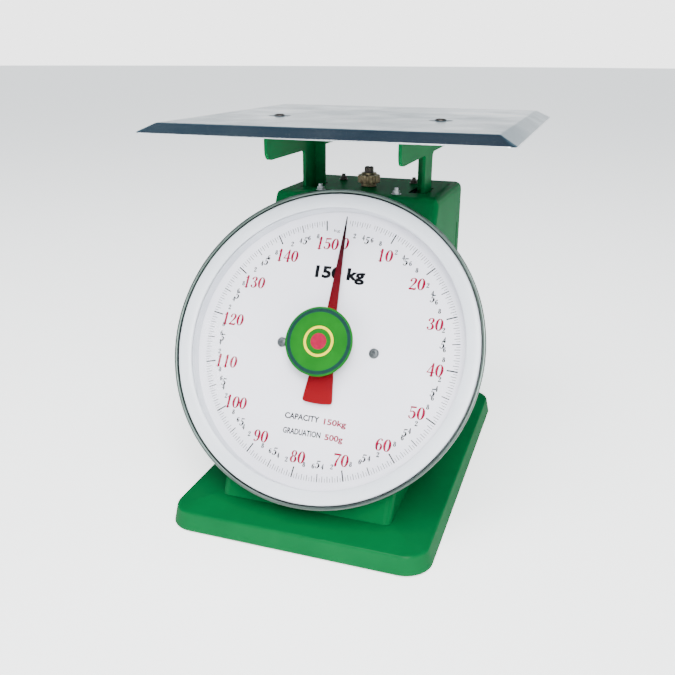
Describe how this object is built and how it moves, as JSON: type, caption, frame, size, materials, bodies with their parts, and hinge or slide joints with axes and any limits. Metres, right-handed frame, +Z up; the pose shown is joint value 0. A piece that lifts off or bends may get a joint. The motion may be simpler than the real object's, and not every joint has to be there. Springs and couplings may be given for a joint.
{
  "type": "mechanical dial platform scale",
  "caption": "Spring platform scale with a leaning round dial on a green pressed housing and base, and a flat steel platform on two brackets that sinks and turns the pointer.",
  "frame": {"origin": "on the floor below the middle of the whole scale", "axes": "+Z up, the dial faces -Y and leans back, +X is to the reader's right"},
  "size_m": [0.316, 0.369, 0.3495],
  "materials": {
    "green_paint": "glossy green baked enamel on pressed steel",
    "stainless_sheet": "satin stainless sheet",
    "zinc_steel": "zinc plated steel",
    "spring_steel": "oiled spring steel",
    "brass": "satin brass",
    "nickel": "dull nickel plate",
    "dial_enamel": "white dial enamel with printed graduations",
    "white_plastic": "white moulded plastic",
    "clear_glass": "clear float glass",
    "red_enamel": "red enamel",
    "hub_enamel": "green enamel",
    "black_rubber": "matt rubber"
  },
  "bodies": {
    "case": {"base_pan": "green_paint", "foot_front_left": "black_rubber", "foot_front_right": "black_rubber", "foot_rear_left": "black_rubber", "foot_rear_right": "black_rubber", "housing": "green_paint", "back_cover": "green_paint", "hanger_plate": "zinc_steel", "rear_mast": "zinc_steel", "damper_cylinder": "zinc_steel", "top_screw_front_left": "zinc_steel", "top_screw_front_right": "zinc_steel", "top_screw_rear_left": "zinc_steel", "top_screw_rear_right": "zinc_steel", "dial_case": "zinc_steel", "dial_plate": "dial_enamel", "inner_ring": "white_plastic", "dial_glass": "clear_glass", "bezel_ring": "white_plastic", "dial_badge": "hub_enamel", "dial_screw_left": "zinc_steel", "dial_screw_right": "zinc_steel", "rack_guide": "brass", "movement_front_plate": "brass", "movement_rear_plate": "brass", "bush_front": "brass", "bush_rear": "brass", "stay_pin_fixed_lower": "zinc_steel", "stay_pin_fixed_upper": "zinc_steel"},
    "load_frame": {"platform_pan": "stainless_sheet", "platform_screw_left": "zinc_steel", "platform_screw_right": "zinc_steel", "bracket_left": "green_paint", "bracket_right": "green_paint", "crossbar": "zinc_steel", "upper_strap": "zinc_steel", "cradle_bolt_left": "zinc_steel", "cradle_bolt_right": "zinc_steel", "damper_rod": "zinc_steel", "rack_arm": "zinc_steel", "rack_pin": "zinc_steel", "spring_plug_bottom_left": "zinc_steel", "spring_plug_bottom_right": "zinc_steel", "main_spring_left": "spring_steel", "main_spring_right": "spring_steel", "stay_pin_moving_lower": "zinc_steel", "stay_pin_moving_upper": "zinc_steel"},
    "rack": {"rack": "brass", "rack_link": "brass"},
    "pointer": {"pointer": "red_enamel", "pointer_cap": "brass", "pointer_shaft": "spring_steel", "pinion": "brass"},
    "stay_lower": {"stay_lower": "zinc_steel"},
    "stay_upper": {"stay_upper": "zinc_steel"},
    "spring_hanger": {"spring_yoke": "zinc_steel", "zero_stud": "nickel", "spring_plug_top_left": "zinc_steel", "spring_plug_top_right": "zinc_steel"},
    "zero_nut": {"zero_nut": "nickel"}
  },
  "joints": [
    {"name": "platform_slide", "type": "slide", "parent": "case", "child": "load_frame", "axis": [0, 0, -1], "range_m": [0, 0.022], "stiffness_N_per_m": 66900, "springref_m": -0.0012, "deforming": ["main_spring_left", "main_spring_right"]},
    {"name": "pointer_spin", "type": "hinge", "parent": "case", "child": "pointer", "pos_m": [0, -0.08455, 0.153], "axis": [0, 0.8755, -0.4833], "range_deg": [0, 350.3]},
    {"name": "rack_slide", "type": "slide", "parent": "case", "child": "rack", "axis": [0, -0.4833, -0.8755], "range_m": [0, 0.02514]},
    {"name": "stay_lower_swing", "type": "hinge", "parent": "case", "child": "stay_lower", "pos_m": [0, 0.095, 0.086], "axis": [1, 0, 0], "range_deg": [0, 44.92]},
    {"name": "stay_upper_swing", "type": "hinge", "parent": "case", "child": "stay_upper", "pos_m": [0, 0.095, 0.21], "axis": [1, 0, 0], "range_deg": [0, 44.92]},
    {"name": "zero_nut_turn", "type": "hinge", "parent": "case", "child": "zero_nut", "pos_m": [0, 0.038, 0.28], "axis": [0, 0, 1], "range_deg": [-120.1, 120.1]},
    {"name": "hanger_slide", "type": "slide", "parent": "case", "child": "spring_hanger", "axis": [0, 0, 1], "range_m": [-0.0005, 0.0005]}
  ],
  "couplings": [
    {"joint": "pointer_spin", "follows": "platform_slide", "rad_per_m": 277.82},
    {"joint": "rack_slide", "follows": "platform_slide", "ratio": 1.1422},
    {"joint": "stay_lower_swing", "follows": "platform_slide", "rad_per_m": 35.627},
    {"joint": "stay_upper_swing", "follows": "platform_slide", "rad_per_m": 35.627},
    {"joint": "zero_nut_turn", "follows": "hanger_slide", "rad_per_m": 4188.8}
  ]
}
